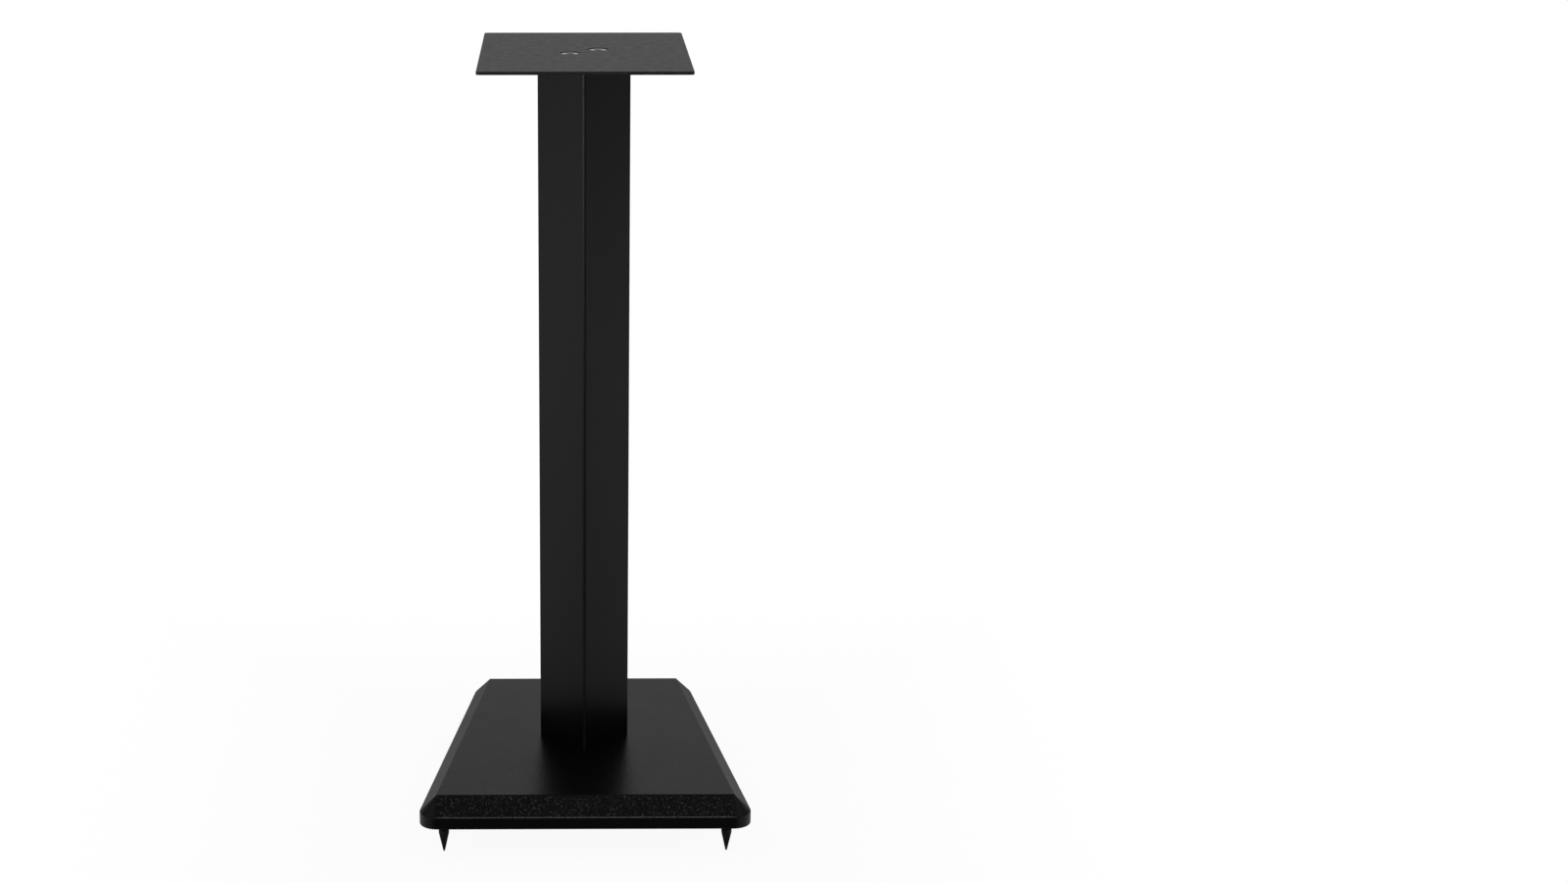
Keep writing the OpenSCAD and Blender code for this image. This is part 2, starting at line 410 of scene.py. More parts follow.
class Tree:
    """Short calls for the nodes of one tree. A value is a number or another node's socket."""

    def __init__(self, node_tree):
        self.nodes = node_tree.nodes
        self.links = node_tree.links

    def give(self, socket, value):
        """Links a socket to another one, or sets it to a plain value."""
        if isinstance(value, bpy.types.NodeSocket):
            self.links.new(value, socket)
        else:
            socket.default_value = value

    def place(self):
        """The shaded point in object coordinates."""
        return self.nodes.new("ShaderNodeTexCoord").outputs["Object"]

    def parts(self, vector):
        """The X, Y and Z of a vector."""
        node = self.nodes.new("ShaderNodeSeparateXYZ")
        self.give(node.inputs["Vector"], vector)
        return node.outputs

    def math(self, operation, first, second=None):
        node = self.nodes.new("ShaderNodeMath")
        node.operation = operation
        self.give(node.inputs[0], first)
        if second is not None:
            self.give(node.inputs[1], second)
        return node.outputs[0]

    def limit(self, value):
        """Keeps a value from 0 to 1."""
        return self.math("MINIMUM", self.math("MAXIMUM", value, 0), 1)

    def vector_math(self, operation, first, second=None, scale=None):
        node = self.nodes.new("ShaderNodeVectorMath")
        node.operation = operation
        self.give(node.inputs[0], first)
        if second is not None:
            self.give(node.inputs[1], second)
        if scale is not None:
            self.give(node.inputs["Scale"], scale)
        return node.outputs["Value" if operation == "LENGTH" else "Vector"]

    def ramp(self, value, ends, low, high, shape="SMOOTHSTEP"):
        """Goes from low to high as the value goes from one end to the other, softly or straight."""
        node = self.nodes.new("ShaderNodeMapRange")
        node.interpolation_type = shape
        self.give(node.inputs["Value"], value)
        self.give(node.inputs["From Min"], ends[0])
        self.give(node.inputs["From Max"], ends[1])
        self.give(node.inputs["To Min"], low)
        self.give(node.inputs["To Max"], high)
        return node.outputs["Result"]

    def straight(self, factor, low, high):
        """A number that goes from low to high as the factor goes from 0 to 1."""
        return self.ramp(factor, (0, 1), low, high, "LINEAR")

    def mix(self, factor, low, high):
        """low where the factor is 0 and high where it is 1."""
        node = self.nodes.new("ShaderNodeMix")
        self.give(node.inputs["Factor"], factor)
        self.give(node.inputs["A"], low)
        self.give(node.inputs["B"], high)
        return node.outputs["Result"]

    def mix_colours(self, factor, low, high):
        """The same for colours; a number stands for a grey."""
        node = self.nodes.new("ShaderNodeMix")
        node.data_type = "RGBA"
        self.give(node.inputs["Factor"], factor)
        # The node's number and colour sockets share their names, so these are taken by place
        for socket, colour in zip(node.inputs[MIX_COLOURS_IN], (low, high)):
            is_socket = isinstance(colour, bpy.types.NodeSocket)
            self.give(socket, colour if is_socket else (colour, colour, colour, 1))
        return node.outputs[MIX_COLOUR_OUT]

    def noise(self, place, scale, detail):
        """Soft grain, so many to the metre."""
        node = self.nodes.new("ShaderNodeTexNoise")
        self.give(node.inputs["Vector"], place)
        self.give(node.inputs["Scale"], scale)
        self.give(node.inputs["Detail"], detail)
        return node.outputs["Fac"]

    def cells(self, place, scale):
        """Round cells, so many to the metre: each has a colour of its own and a distance."""
        node = self.nodes.new("ShaderNodeTexVoronoi")
        self.give(node.inputs["Vector"], place)
        self.give(node.inputs["Scale"], scale)
        return node.outputs

    def bump(self, height, distance, normal=None):
        node = self.nodes.new("ShaderNodeBump")
        self.give(node.inputs["Height"], height)
        self.give(node.inputs["Distance"], distance)
        if normal is not None:
            self.give(node.inputs["Normal"], normal)
        return node.outputs["Normal"]

    def use(self, group, **values):
        """Puts in a node group with these input values, and returns its node."""
        node = self.nodes.new("ShaderNodeGroup")
        node.node_tree = group
        node.name = group.name
        for socket, value in values.items():
            self.give(node.inputs[socket], value)
        return node


def new_group(name, inputs, outputs):
    """An empty node group: its tree, what it is given and what it puts out."""
    group = bpy.data.node_groups.new(name, "ShaderNodeTree")
    for socket, value in inputs.items():
        made = group.interface.new_socket(socket, in_out="INPUT", socket_type="NodeSocketFloat")
        made.default_value = value
    for socket, kind in outputs.items():
        group.interface.new_socket(socket, in_out="OUTPUT", socket_type=kind)
    given = group.nodes.new("NodeGroupInput")
    out = group.nodes.new("NodeGroupOutput")
    return group, Tree(group), given.outputs, out.inputs


def open_material(material):
    """A material's tree and its Principled shader's inputs."""
    material.use_nodes = True
    tree = Tree(material.node_tree)
    return tree, tree.nodes["Principled BSDF"].inputs


def source(socket):
    """The socket that another one is linked from."""
    return socket.links[0].from_socket


# Node groups

GRAIN_DETAIL = 2
COARSE_DETAIL = 1
PATCH_DETAIL = 4
COARSE_SHARE = 0.35
SPECK_SHARPNESS = 8
MIDDLE_COLOUR = (0.5, 0.5, 0.5)


def make_coat_grain():
    """The orange-peel grain, specks and uneven sheen of a sprayed coat."""
    group, tree, given, out = new_group(
        "coat_grain",
        {"Grains": 1500, "Patches": 30, "Speck Size": 0.3},
        {"Height": "NodeSocketFloat", "Patch": "NodeSocketFloat", "Speck": "NodeSocketFloat"},
    )
    place = tree.place()
    fine = tree.noise(place, given["Grains"], GRAIN_DETAIL)
    coarse_grains = tree.math("MULTIPLY", given["Grains"], COARSE_SHARE)
    coarse = tree.noise(place, coarse_grains, COARSE_DETAIL)
    tree.give(out["Height"], tree.math("ADD", fine, coarse))
    tree.give(out["Patch"], tree.noise(place, given["Patches"], PATCH_DETAIL))
    distance = tree.cells(place, given["Grains"])["Distance"]
    inside = tree.math("SUBTRACT", given["Speck Size"], distance)
    tree.give(out["Speck"], tree.limit(tree.math("MULTIPLY", inside, SPECK_SHARPNESS)))
    return group


def make_glint_facets():
    """Paint grains that each lean their own way; the rarer, the fewer of them lean far."""
    group, tree, given, out = new_group(
        "glint_facets",
        {"Grains": 1200, "Lean": 0.5, "Rarity": 2.5},
        {"Normal": "NodeSocketVector"},
    )
    colour = tree.cells(tree.place(), given["Grains"])["Color"]
    rare = tree.math("POWER", tree.parts(colour)["X"], given["Rarity"])
    lean = tree.math("MULTIPLY", rare, given["Lean"])
    away = tree.vector_math("SUBTRACT", colour, MIDDLE_COLOUR)
    away = tree.vector_math("SCALE", away, scale=lean)
    flat = tree.nodes.new("ShaderNodeNewGeometry").outputs["Normal"]
    tree.give(out["Normal"], tree.vector_math("NORMALIZE", tree.vector_math("ADD", flat, away)))
    return group


def make_level_band():
    """1 between two heights, softly down to 0 beyond them, and broken up where asked."""
    group, tree, given, out = new_group(
        "level_band",
        {"Bottom": 0, "Top": MM, "Fade": MM, "Breaks": 200, "Broken": 0},
        {"Mask": "NodeSocketFloat"},
    )
    place = tree.place()
    height = tree.parts(place)["Z"]
    under = tree.math("SUBTRACT", given["Bottom"], height)
    over = tree.math("SUBTRACT", height, given["Top"])
    outside = tree.math("DIVIDE", tree.math("MAXIMUM", under, over), given["Fade"])
    inside = tree.math("SUBTRACT", 1, tree.limit(outside))
    patchy = tree.noise(place, given["Breaks"], GRAIN_DETAIL)
    patchy = tree.math("MULTIPLY", patchy, given["Broken"])
    tree.give(out["Mask"], tree.math("MULTIPLY", inside, tree.math("SUBTRACT", 1, patchy)))
    return group


# Materials

# A painted highlight: the post's colour is lighter along its four rounded corners
CORNER_HIGHLIGHT_GREY = 0.008
CORNER_FADE = 0.5 * MM

# The board's front and back bevels have grains that lean further and painted glints, light specks
# in their colour; the thin light line under them is partly wear and partly a painted highlight
BOARD_GRAINS = 1000
TOP_LEAN = 0.1
END_LEAN = 0.4
END_FADE = 1 * MM
SIDE_FADE = 3 * MM
PAINTED_GLINT_GREY = 0.062
PAINTED_GLINT_GRAINS = 800
SAND_RARITY = 2
PAINTED_GLINT_SHARE = (0.57, 0.73)
END_BEVEL_FADE = 0.2 * MM
WEAR_AND_HIGHLIGHT_GREY = 0.2
EDGE_LINE_WIDTH = 0.35 * MM
EDGE_LINE_BREAKS = 1100
EDGE_LINE_BROKEN = 1.3

# The top screws are bright metal on the flat of the head and nearly black below it
SOCKET_BLACK = 0.004
HEAD_FACE_DEPTH = 0.12 * MM
HEAD_FACE_FADE = 0.1 * MM

# Every metal: marks to the metre, their depth, and how metallic a black oxide skin looks
METAL_PATCHES = 180
METAL_GRAINS = 2500
METAL_DEPTH = 0.004 * MM
BLACKENED = 0.9


def make_black_coat(name, dark, light, roughness, specular, grains, depth, lean, patches=30):
    """Satin black paint with fine grain, uneven sheen, and grains that glint."""
    material = bpy.data.materials.new(name)
    tree, shader = open_material(material)
    grain = tree.use(coat_grain, Grains=grains, Patches=patches).outputs
    facets = tree.use(glint_facets, Grains=grains, Lean=lean).outputs
    tree.give(shader["Base Color"], tree.mix_colours(grain["Speck"], dark, light))
    tree.give(shader["Roughness"], tree.straight(grain["Patch"], *roughness))
    tree.give(shader["Normal"], tree.bump(grain["Height"], depth, facets["Normal"]))
    shader["Specular IOR Level"].default_value = specular
    return material


def make_post_coat():
    """The post's paint, with a painted highlight that makes its four corners a little lighter."""
    material = make_black_coat(
        "post_coat",
        dark=0.0005,
        light=0.0012,
        roughness=(0.28, 0.36),
        specular=0.17,
        grains=1100,
        depth=0.006 * MM,
        lean=0.05,
    )
    tree, shader = open_material(material)
    parts = tree.parts(tree.place())
    aside = tree.math("ABSOLUTE", parts["X"])
    along = tree.math("ABSOLUTE", parts["Y"])
    outward = tree.math("MAXIMUM", aside, along)
    # Painted highlight: a lighter colour along the four rounded corners
    corner_highlight = tree.ramp(outward, (POST_REACH - CORNER_FADE, POST_REACH), 0, 1)
    paint = source(shader["Base Color"])
    tree.give(shader["Base Color"], tree.mix_colours(corner_highlight, paint, CORNER_HIGHLIGHT_GREY))
    return material


def make_board_paint():
    """The board's paint: smooth on top, with leaning grains and painted glints on the front and
    back bevels, and a light line under them that is partly wear and partly painted highlight.
    """
    material = make_black_coat(
        "board_paint",
        dark=0.0006,
        light=0.0012,
        roughness=(0.28, 0.36),
        specular=0.155,
        grains=BOARD_GRAINS,
        depth=0.03 * MM,
        lean=TOP_LEAN,
    )
    tree, shader = open_material(material)
    place = tree.place()
    parts = tree.parts(place)
    along = tree.math("ABSOLUTE", parts["Y"])
    aside = tree.math("ABSOLUTE", parts["X"])
    ends = tree.ramp(along, (FLAT_DEPTH - END_FADE, FLAT_DEPTH + END_FADE), 0, 1)
    straight = tree.ramp(aside, (FLAT_FRONT - SIDE_FADE, FLAT_FRONT + SIDE_FADE), 1, 0)
    ends = tree.math("MULTIPLY", ends, straight)
    bevel = tree.use(level_band, Bottom=BAND_TOP, Top=BOARD_TOP - BOARD_EDGE, Fade=END_BEVEL_FADE)
    end_bevels = tree.math("MULTIPLY", bevel.outputs["Mask"], ends)
    grains = tree.nodes["glint_facets"].inputs
    tree.give(grains["Rarity"], SAND_RARITY)
    tree.give(grains["Lean"], tree.straight(end_bevels, TOP_LEAN, END_LEAN))
    # Painted glints: light specks in the colour of the front and back bevels
    painted_glints = tree.ramp(tree.noise(place, PAINTED_GLINT_GRAINS, GRAIN_DETAIL), PAINTED_GLINT_SHARE, 0, 1)
    painted_glints = tree.math("MULTIPLY", painted_glints, end_bevels)
    # Partly wear, partly painted highlight: a thin lighter line just under the front and back
    # bevels
    edge_line = tree.use(
        level_band,
        Bottom=BAND_TOP - EDGE_LINE_WIDTH,
        Top=BAND_TOP,
        Fade=EDGE_LINE_WIDTH,
        Breaks=EDGE_LINE_BREAKS,
        Broken=EDGE_LINE_BROKEN,
    )
    lighter = tree.math("MULTIPLY", edge_line.outputs["Mask"], ends)
    paint = tree.mix_colours(painted_glints, source(shader["Base Color"]), PAINTED_GLINT_GREY)
    tree.give(shader["Base Color"], tree.mix_colours(lighter, paint, WEAR_AND_HIGHLIGHT_GREY))
    return material


def make_metal(
    name, dark, light, roughness, grains=METAL_GRAINS, depth=METAL_DEPTH, metallic=1.0
):
    """Bare or plated steel with fine marks."""
    material = bpy.data.materials.new(name)
    tree, shader = open_material(material)
    grain = tree.use(coat_grain, Grains=grains, Patches=METAL_PATCHES).outputs
    tree.give(shader["Base Color"], tree.mix_colours(grain["Patch"], dark, light))
    tree.give(shader["Roughness"], tree.straight(grain["Patch"], *roughness))
    tree.give(shader["Normal"], tree.bump(grain["Height"], depth))
    shader["Metallic"].default_value = metallic
    return material


def make_screw_steel():
    """Screw steel: bright metal on the flat of the head, nearly black below it and in the socket.
    """
    material = make_metal(
        "black_steel", dark=0.6, light=0.75, roughness=(0.22, 0.32), metallic=BLACKENED
    )
    tree, shader = open_material(material)
    face = tree.use(level_band, Bottom=HEAD_LEVEL - HEAD_FACE_DEPTH, Top=HEAD_LEVEL, Fade=HEAD_FACE_FADE)
    lighter = source(shader["Base Color"])
    steel = tree.mix_colours(face.outputs["Mask"], SOCKET_BLACK, lighter)
    tree.give(shader["Base Color"], steel)
    return material


coat_grain = make_coat_grain()
glint_facets = make_glint_facets()
level_band = make_level_band()
plate_coat = make_black_coat(
    "plate_coat",
    dark=0.012,
    light=0.034,
    roughness=(0.28, 0.54),
    specular=0.15,
    grains=900,
    depth=0.09 * MM,
    lean=0.2,
    patches=160,
)
post_coat = make_post_coat()
board_paint = make_board_paint()
black_steel = make_screw_steel()
spike_black = make_metal(
    "spike_black", dark=0.02, light=0.035, roughness=(0.3, 0.42), metallic=BLACKENED
)
zinc_plate = make_metal("zinc_plate", dark=0.5, light=0.62, roughness=(0.25, 0.4))
mild_steel = make_metal(
    "mild_steel", dark=0.22, light=0.34, roughness=(0.4, 0.6), grains=2000, depth=0.006 * MM
)


# Pieces


def make_top_plate():
    """The plate that the speaker stands on, with two countersunk holes."""
    plate = block("top_plate", PLATE_WIDTH, PLATE_DEPTH, PLATE_BOTTOM, PLATE_TOP)
    ease(plate, upright, PLATE_CORNER, PLATE_CORNER_STEPS)
    ease(plate, at_height(PLATE_TOP), PLATE_EDGE)
    ease(plate, at_height(PLATE_BOTTOM), PLATE_EDGE)
    hole = bar("hole", HOLE_WIDTH, PLATE_BOTTOM - SINK_DEPTH, HEAD_LEVEL - SINK_DEPTH)
    draw_out(hole, True, SINK_DEPTH, SINK_MOUTH / HOLE_WIDTH)
    draw_out(hole, True, PAST, 1)
    for place in SCREW_PLACES.values():
        cut(plate, copy_to(hole, "screw_hole", place))
    discard(hole)
    return smooth(plate)


def make_post():
    """Square steel tube that stands with a corner to the front."""
    post = block("post_tube", POST_SIDE, POST_SIDE, BOARD_TOP, PLATE_BOTTOM, POST_TURN)
    edit(post)
    pick_faces(post, lambda centre, normal: abs(normal.z) > NEARLY_UPRIGHT)
    bpy.ops.mesh.delete(type="ONLY_FACE")
    ease(post, upright, POST_CORNER, POST_CORNER_STEPS)
    wall = post.modifiers.new("wall", "SOLIDIFY")
    wall.thickness = POST_WALL
    wall.offset = -1
    wall.use_even_offset = True
    take(post)
    bpy.ops.object.modifier_apply(modifier=wall.name)
    return smooth(post)


def make_board_corner():
    """A corner of the board on the Z axis: a round band, and a cone up to the flat top."""
    foot = BEVEL_WIDTH + BOARD_EDGE
    corner = bar("corner", 2 * foot, BOARD_BOTTOM, BAND_TOP, sides=2 * ROUND)
    draw_out(corner, True, BOARD_TOP - BAND_TOP, BOARD_EDGE / foot)
    ease(corner, at_height(BOARD_TOP), BOARD_TOP_EDGE)
    ease(corner, at_height(BAND_TOP), BOARD_EDGE)
    ease(corner, at_height(BOARD_BOTTOM), BOARD_EDGE)
    return corner


def make_board():
    """Base board: a skin drawn over four corners, then stepped holes cut from below."""
    model = make_board_corner()
    corners = []
    for x, y in ((FLAT_FRONT, -FLAT_DEPTH), (FLAT_BACK, FLAT_DEPTH)):
        inward = y - BOARD_EDGE if y > 0 else y + BOARD_EDGE
        corners.append(copy_to(model, "right_corner", (x - BOARD_EDGE, inward)))
        corners.append(copy_to(model, "left_corner", (BOARD_EDGE - x, inward)))
    discard(model)
    let_go()
    for corner in corners:
        corner.select_set(True)
    bpy.context.view_layer.objects.active = corners[0]
    bpy.ops.object.join()
    board = bpy.context.active_object
    edit(board)
    bpy.ops.mesh.select_all(action="SELECT")
    bpy.ops.mesh.convex_hull()
    bpy.ops.mesh.select_all(action="SELECT")
    bpy.ops.mesh.dissolve_limited(angle_limit=SAME_PLANE)
    let_go()
    for place in SCREW_PLACES.values():
        cut(
            board,
            bar("recess", BOLT_RECESS, BOARD_BOTTOM - PAST, WASHER_TOP, place),
            bar("hole", BOLT_HOLE, WASHER_TOP - PAST, BOARD_TOP + PAST, place),
        )
    for place in SPIKE_PLACES.values():
        cut(
            board,
            bar("flange_hole", FLANGE_HOLE, BOARD_BOTTOM - PAST, FLANGE_TOP, place),
            bar("barrel_hole", BARREL_HOLE, FLANGE_TOP - PAST, INSERT_TOP, place),
            bar("pilot_hole", BOLT_HOLE, INSERT_TOP - PAST, SPIKE_HOLE_TOP, place),
        )
    return smooth(board, BOARD_SMOOTH_ANGLE)


def make_top_screw():
    """Countersunk M8 screw with a hexagon socket, modelled on the Z axis."""
    screw = bar("top_screw", ROD_WIDTH, SCREW_END, SCREW_NECK)
    draw_out(screw, True, HEAD_LEVEL - SCREW_NECK, SCREW_HEAD / ROD_WIDTH)
    ease(screw, ring_at(SCREW_HEAD, HEAD_LEVEL), (SCREW_HEAD - SCREW_FACE) / 2)
    ease(screw, ring_at(ROD_WIDTH, SCREW_END), ROD_CHAMFER, ONE_CHAMFER)
    socket = hexagon_bar("socket", SOCKET_FLATS, HEAD_LEVEL - SOCKET_DEPTH, HEAD_LEVEL + PAST)
    # The mouth widens to its full width at the face, and goes on past it so that it cuts cleanly
    narrow = SOCKET_MOUTH - 2 * MOUTH_DEPTH
    wide = SOCKET_MOUTH + 2 * MOUTH_DEPTH
    mouth = bar("socket_mouth", narrow, HEAD_LEVEL - 2 * MOUTH_DEPTH, HEAD_LEVEL - MOUTH_DEPTH)
    draw_out(mouth, True, 2 * MOUTH_DEPTH, wide / narrow)
    cut(screw, mouth, socket, thread_groove(SCREW_END - THREAD_RUN_OUT, SCREW_THREAD_TOP))
    return smooth(screw)


def make_spike():
    """Threaded floor spike with a long cone, modelled on the Z axis."""
    spike = bar("spike", ROD_WIDTH, CONE_TOP, SPIKE_TOP)
    draw_out(spike, False, CONE_TOP, TIP_WIDTH / ROD_WIDTH)
    ease(spike, ring_at(TIP_WIDTH, 0), TIP_EDGE)
    ease(spike, ring_at(ROD_WIDTH, CONE_TOP), CONE_EDGE)
    ease(spike, ring_at(ROD_WIDTH, SPIKE_TOP), ROD_CHAMFER, ONE_CHAMFER)
    cut(spike, thread_groove(CONE_TOP + THREAD_RUN_OUT, SPIKE_TOP + THREAD_RUN_OUT))
    return smooth(spike)


def make_nut():
    """Hexagon lock nut with chamfered faces and bore, modelled on the Z axis."""
    nut = hexagon_bar("lock_nut", NUT_WIDTH, NUT_BOTTOM, NUT_TOP, turn=NUT_TURN)
    envelope = bar("envelope", NUT_ENVELOPE, NUT_BOTTOM + NUT_CHAMFER, NUT_TOP - NUT_CHAMFER)
    bore = bar("bore", THREAD_BORE, NUT_BOTTOM + NUT_CHAMFER / 2, NUT_TOP - NUT_CHAMFER / 2)
    for upwards in (True, False):
        draw_out(envelope, upwards, NUT_CHAMFER, NUT_FACE / NUT_ENVELOPE)
        draw_out(bore, upwards, NUT_CHAMFER, BORE_FLARE)
    combine(nut, envelope, "INTERSECT")
    cut(nut, bore)
    return smooth(nut, NUT_SMOOTH_ANGLE)


def make_insert():
    """Flanged threaded insert pressed into the board, modelled on the Z axis."""
    insert = bar("insert", INSERT_BARREL, BOARD_BOTTOM, INSERT_TOP)
    combine(insert, bar("flange", INSERT_FLANGE, BOARD_BOTTOM, FLANGE_TOP), "UNION")
    ease(insert, ring_at(INSERT_FLANGE, BOARD_BOTTOM), FLANGE_EDGE)
    ease(insert, ring_at(INSERT_BARREL, INSERT_TOP), INSERT_CHAMFER, ONE_CHAMFER)
    cut(insert, bar("bore", THREAD_BORE, BOARD_BOTTOM - PAST, INSERT_TOP + PAST))
    return smooth(insert)


def make_washer():
    """Flat washer with eased edges, modelled on the Z axis."""
    washer = bar("washer", WASHER_WIDTH, WASHER_BOTTOM, WASHER_TOP)
    ease(washer, at_height(WASHER_TOP), WASHER_EDGE, WASHER_EDGE_STEPS)
    ease(washer, at_height(WASHER_BOTTOM), WASHER_EDGE, WASHER_EDGE_STEPS)
    cut(washer, bar("bore", WASHER_BORE, WASHER_BOTTOM - PAST, WASHER_TOP + PAST))
    return smooth(washer)


def make_bolt():
    """Socket-head M8 bolt that comes up through the board, modelled on the Z axis."""
    bolt = bar("base_bolt", BOLT_HEAD, BOLT_BOTTOM, WASHER_BOTTOM)
    ease(bolt, ring_at(BOLT_HEAD, BOLT_BOTTOM), BOLT_EDGE)
    combine(bolt, bar("shank", ROD_WIDTH, WASHER_BOTTOM - PAST, BOLT_TOP), "UNION")
    ease(bolt, ring_at(ROD_WIDTH, BOLT_TOP), ROD_CHAMFER, ONE_CHAMFER)
    socket_top = BOLT_BOTTOM + BOLT_SOCKET_DEPTH
    socket = hexagon_bar("socket", BOLT_SOCKET, BOLT_BOTTOM - PAST, socket_top)
    cut(bolt, socket, thread_groove(WASHER_TOP + THREAD_RUN_OUT, BOLT_TOP + THREAD_RUN_OUT))
    return smooth(bolt)


for piece, node, slot, material in (
    (make_top_plate(), "top_plate", "plate_coat", plate_coat),
    (make_post(), "post_tube", "post_coat", post_coat),
    (make_board(), "base_board", "painted_board", board_paint),
):
    piece.name = f"{node}_piece"
    piece.data.name = piece.name
    fit(piece, "stand", node, material)

screw = make_top_screw()
washer = make_washer()
bolt = make_bolt()
for end, place in SCREW_PLACES.items():
    for model, kind, slot, material in (
        (screw, "top_screw", "black_screw", black_steel),
        (washer, "base_washer", "zinc_steel", zinc_plate),
        (bolt, "base_bolt", "black_screw", spike_black),
    ):
        node = f"{kind}_{end}"
        fit(copy_to(model, f"{node}_piece", place), "stand", node, material)

spike = make_spike()
nut = make_nut()
insert = make_insert()
for corner, place in SPIKE_PLACES.items():
    for model, kind, moves, slot, material in (
        (spike, "spike", True, "spike_steel", spike_black),
        (nut, "lock_nut", True, "black_screw", spike_black),
        (insert, "insert", False, "zinc_steel", zinc_plate),
    ):
        node = f"{kind}_{corner}"
        body = node if moves else "stand"
        fit(copy_to(model, f"{node}_piece", place), body, node, material)

for model in (screw, washer, bolt, spike, nut, insert):
    discard(model)

# The end plates and weld nuts inside the post keep their CAD solids.
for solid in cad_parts.values():
    if not solid.hide_render:
        solid.data.materials.clear()
        solid.data.materials.append(mild_steel)


# Studio

# Brightness of the world's plain light, and of the room that gloss sees; 1 is white.
# Heights are the Z of a direction, turns are its X or Y, where -1 is left or front.
PLAIN_LEVEL = 0.52
LOW_FRONT = 0.8
HIGH_FRONT = 0.1
LOW_SIDE = 0.15
HIGH_SIDE = 0.38
BACK_HORIZON = 0.24
BACK_ROOM = 0.64
BACK_SIDES = 0.85
HORIZON_HEIGHTS = (0.05, 0.3)
SIDE_HEIGHTS = (0.1, 0.5)
BACK_TURNS = (0.2, 0.5)
FRONT_TO_SIDE = (-0.7, -0.2)
SIDE_TO_BACK = (0.3, 0.7)

# The floor as gloss sees it, all painted light and shade: a painted shadow round the stand, then
# levels that change with the direction and with the distance from the post, and a painted glow in
# front to the left
FLOOR_SIZE = 16
FLOOR_SIDES = 128
FLOOR_GREY = 0.9
HALO_EDGE = (0.08, 0.22)
FRONT_HALO = 0.17
SIDE_HALO = 0.9
BACK_HALO = 0.36
HALO_ALONG = (-0.12, 0)
HALO_ASIDE = (0, 0.06)
LEFT_FLOOR = 1.01
RIGHT_FLOOR = 0.9
LEFT_TO_RIGHT = (-0.3, 0.3)
NEAR_FLOOR = 0.74
NEAR_DISTANCES = (0.25, 1.6)
FAR_FLOOR = 0.2
FAR_DISTANCES = (2, 6)
BACK_FLOOR = 0.42
BACK_FLOOR_TURNS = (0.7, 0.95)
FRONT_FLOOR_TURNS = (-0.4, -0.05)
NEAR_FRONT = 0.05
FAR_FRONT = 0.2
FRONT_DISTANCES = (0.8, 2.2)
FRONT_GLOW = 10
GLOW_DISTANCES = (2, 5)
GLOW_TURNS = (-0.4, 0)

# How much of the floor's own shadow the camera sees by the stand, and how far out it fades
SHADOW_SHARE = 0.06
SHADOW_END = 0.35

# Two lamps like each other, in front of the stand to its left and right
LAMP_ASIDE = 1.6
LAMP_BEFORE = 1.1
LAMP_HEIGHT = 2.0
LAMP_SIZE = 2
LAMP_RADIANCE = 0.5
POST_MIDDLE = Vector((0, 0, 0.3))

# The lens is in millimetres and the angles are in degrees
SENSOR_WIDTH = 36
FOCAL_LENGTH = 59.79
SHIFT_ASIDE = 0.1275
CAMERA_PLACE = (-14.63 * MM, -1961.69 * MM, 861.08 * MM)
CAMERA_DIP = 16.097
CAMERA_TURN = -0.4274


def floor_in_gloss(tree, place):
    """The light and shade painted on the floor for the stand's gloss, and how far a point lies
    outside the stand.
    """
    parts = tree.parts(place)
    beside = tree.math("SUBTRACT", tree.math("ABSOLUTE", parts["X"]), REACH_ASIDE)
    before = tree.math("SUBTRACT", tree.math("ABSOLUTE", parts["Y"]), REACH_BACK)
    away = tree.math("MAXIMUM", beside, before)
    distance = tree.vector_math("LENGTH", place)
    to_right = tree.math("DIVIDE", parts["X"], distance)
    to_back = tree.math("DIVIDE", parts["Y"], distance)

    side = tree.ramp(to_right, LEFT_TO_RIGHT, LEFT_FLOOR, RIGHT_FLOOR)
    for change in (
        tree.ramp(distance, NEAR_DISTANCES, NEAR_FLOOR, 1),
        tree.ramp(distance, FAR_DISTANCES, 1, FAR_FLOOR),
        tree.ramp(to_back, BACK_FLOOR_TURNS, 1, BACK_FLOOR),
    ):
        side = tree.math("MULTIPLY", side, change)
    # A painted glow on the floor in front to the left, seen only in gloss
    painted_glow = tree.ramp(distance, GLOW_DISTANCES, 0, FRONT_GLOW)
    painted_glow = tree.math("MULTIPLY", painted_glow, tree.ramp(to_right, GLOW_TURNS, 1, 0))
    front = tree.ramp(distance, FRONT_DISTANCES, NEAR_FRONT, FAR_FRONT)
    front = tree.math("ADD", front, painted_glow)
    level = tree.mix(tree.ramp(to_back, FRONT_FLOOR_TURNS, 1, 0), side, front)

    # A painted shadow round the stand, seen only in gloss
    painted_side_shadow = tree.ramp(parts["Y"], HALO_ALONG, SIDE_HALO, BACK_HALO)
    painted_shadow = tree.mix(tree.ramp(beside, HALO_ASIDE, 0, 1), FRONT_HALO, painted_side_shadow)
    return tree.mix(tree.ramp(away, HALO_EDGE, 0, 1), painted_shadow, level), away


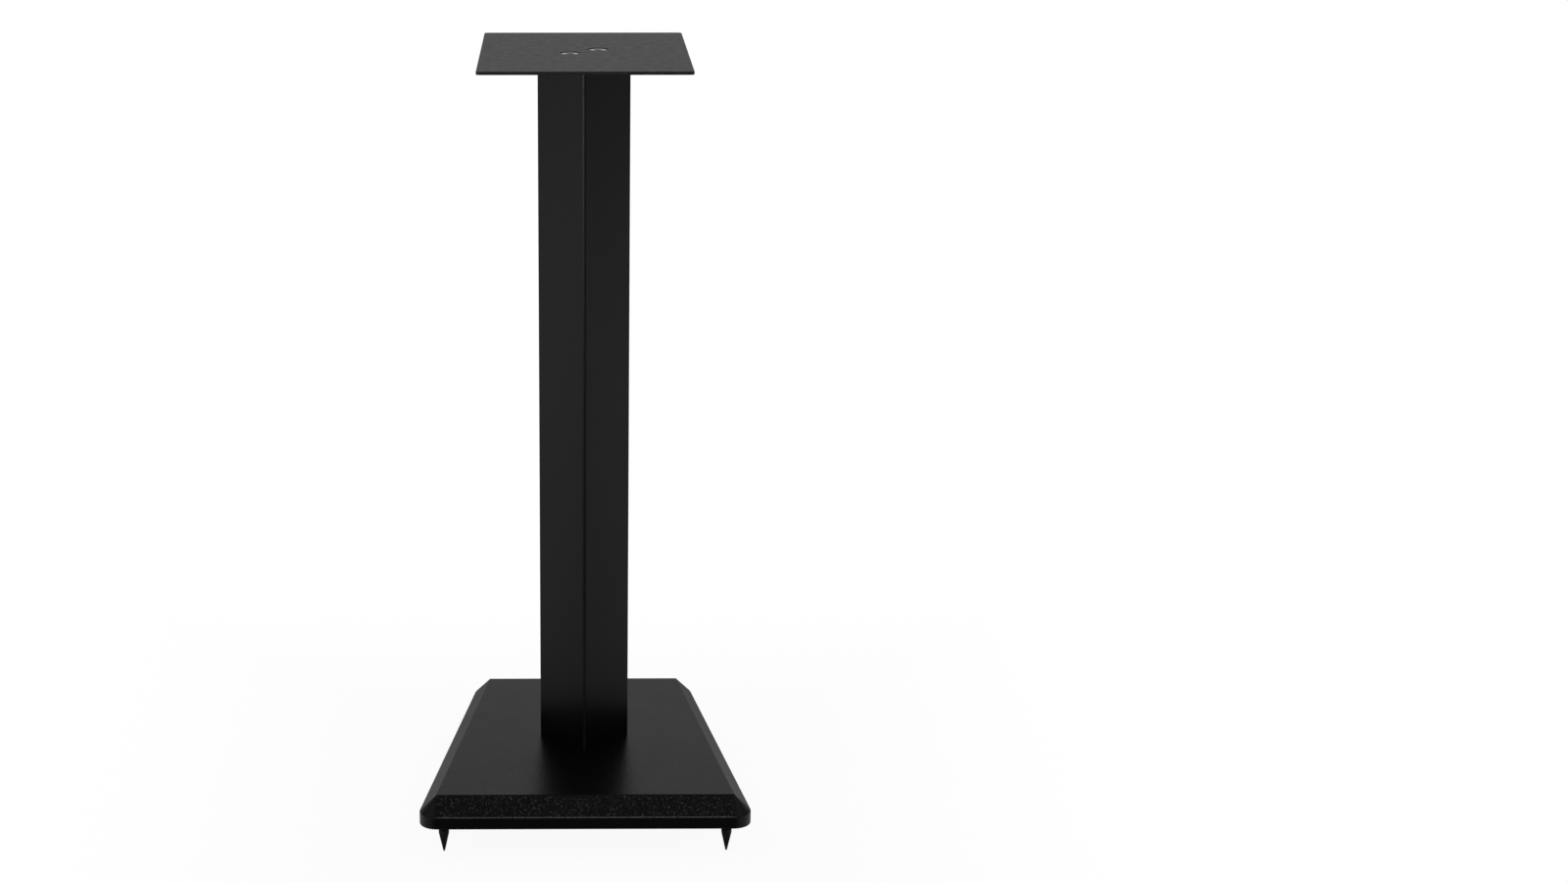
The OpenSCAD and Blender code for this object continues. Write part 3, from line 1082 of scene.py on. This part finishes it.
def make_floor():
    """Pale floor: white to the camera but for the soft dark of the stand's shadow."""
    let_go()
    bpy.ops.mesh.primitive_circle_add(
        vertices=FLOOR_SIDES, radius=FLOOR_SIZE / 2, fill_type="NGON"
    )
    floor = settle(bpy.context.active_object, "floor")
    material = bpy.data.materials.new("pale_floor")
    material.use_nodes = True
    tree = Tree(material.node_tree)
    tree.nodes.clear()
    output = tree.nodes.new("ShaderNodeOutputMaterial")
    paint = tree.nodes.new("ShaderNodeBsdfDiffuse")
    paint.inputs["Color"].default_value = (FLOOR_GREY, FLOOR_GREY, FLOOR_GREY, 1)
    white = tree.nodes.new("ShaderNodeEmission")
    # Gloss sees the floor's painted light and shade instead of its paint
    level, away = floor_in_gloss(tree, tree.place())
    rays = tree.nodes.new("ShaderNodeLightPath").outputs
    tree.give(white.inputs["Strength"], tree.mix(rays["Is Camera Ray"], level, 1))
    fade = tree.ramp(away, (0, SHADOW_END), 1 - SHADOW_SHARE, 1)
    seen = tree.math("MULTIPLY", rays["Is Camera Ray"], fade)
    mix = tree.nodes.new("ShaderNodeMixShader")
    tree.give(mix.inputs["Fac"], tree.math("MAXIMUM", seen, rays["Is Glossy Ray"]))
    tree.give(mix.inputs[1], paint.outputs["BSDF"])
    tree.give(mix.inputs[2], white.outputs["Emission"])
    tree.give(output.inputs["Surface"], mix.outputs["Shader"])
    floor.data.materials.append(material)


def make_world():
    """White to the camera, a plain light for colours, and a room of uneven brightness in gloss."""
    world = bpy.data.worlds.new("studio")
    bpy.context.scene.world = world
    world.use_nodes = True
    tree = Tree(world.node_tree)
    tree.nodes.clear()
    output = tree.nodes.new("ShaderNodeOutputWorld")
    light = tree.nodes.new("ShaderNodeBackground")
    light.inputs["Color"].default_value = (1, 1, 1, 1)
    parts = tree.parts(tree.nodes.new("ShaderNodeTexCoord").outputs["Generated"])
    high = tree.ramp(parts["Z"], HORIZON_HEIGHTS, 0, 1)
    in_front = tree.mix(high, LOW_FRONT, HIGH_FRONT)
    beside = tree.ramp(parts["Z"], SIDE_HEIGHTS, LOW_SIDE, HIGH_SIDE)
    behind = tree.mix(high, BACK_HORIZON, BACK_ROOM)
    sideways = tree.math("ABSOLUTE", parts["X"])
    behind = tree.math("MULTIPLY", behind, tree.ramp(sideways, BACK_TURNS, 1, BACK_SIDES))
    room = tree.mix(tree.ramp(parts["Y"], FRONT_TO_SIDE, 0, 1), in_front, beside)
    room = tree.mix(tree.ramp(parts["Y"], SIDE_TO_BACK, 0, 1), room, behind)
    rays = tree.nodes.new("ShaderNodeLightPath").outputs
    level = tree.mix(rays["Is Glossy Ray"], PLAIN_LEVEL, room)
    plain = tree.math("MAXIMUM", rays["Is Camera Ray"], rays["Is Transmission Ray"])
    tree.give(light.inputs["Strength"], tree.mix(plain, level, 1))
    tree.give(output.inputs["Surface"], light.outputs["Background"])


def make_lamp(name, place):
    """A soft square lamp turned to the post, which the camera doesn't see."""
    lamp = bpy.data.lights.new(name, "AREA")
    lamp.shape = "SQUARE"
    lamp.size = LAMP_SIZE
    lamp.energy = LAMP_RADIANCE * pi * LAMP_SIZE**2
    holder = bpy.data.objects.new(name, lamp)
    bpy.context.scene.collection.objects.link(holder)
    holder.location = place
    holder.rotation_euler = (POST_MIDDLE - Vector(place)).to_track_quat("-Z", "Y").to_euler()
    holder.visible_camera = False


def make_camera():
    """The camera that was fitted to the photograph's outlines."""
    lens = bpy.data.cameras.new("camera")
    lens.sensor_width = SENSOR_WIDTH
    lens.lens = FOCAL_LENGTH
    lens.shift_x = SHIFT_ASIDE
    camera = bpy.data.objects.new("camera", lens)
    bpy.context.scene.collection.objects.link(camera)
    camera.location = CAMERA_PLACE
    camera.rotation_euler = (radians(90 - CAMERA_DIP), 0, radians(CAMERA_TURN))
    bpy.context.scene.camera = camera


make_floor()
make_world()
make_lamp("left_lamp", (-LAMP_ASIDE, -LAMP_BEFORE, LAMP_HEIGHT))
make_lamp("right_lamp", (LAMP_ASIDE, -LAMP_BEFORE, LAMP_HEIGHT))
make_camera()
bpy.context.scene.view_settings.view_transform = "Standard"
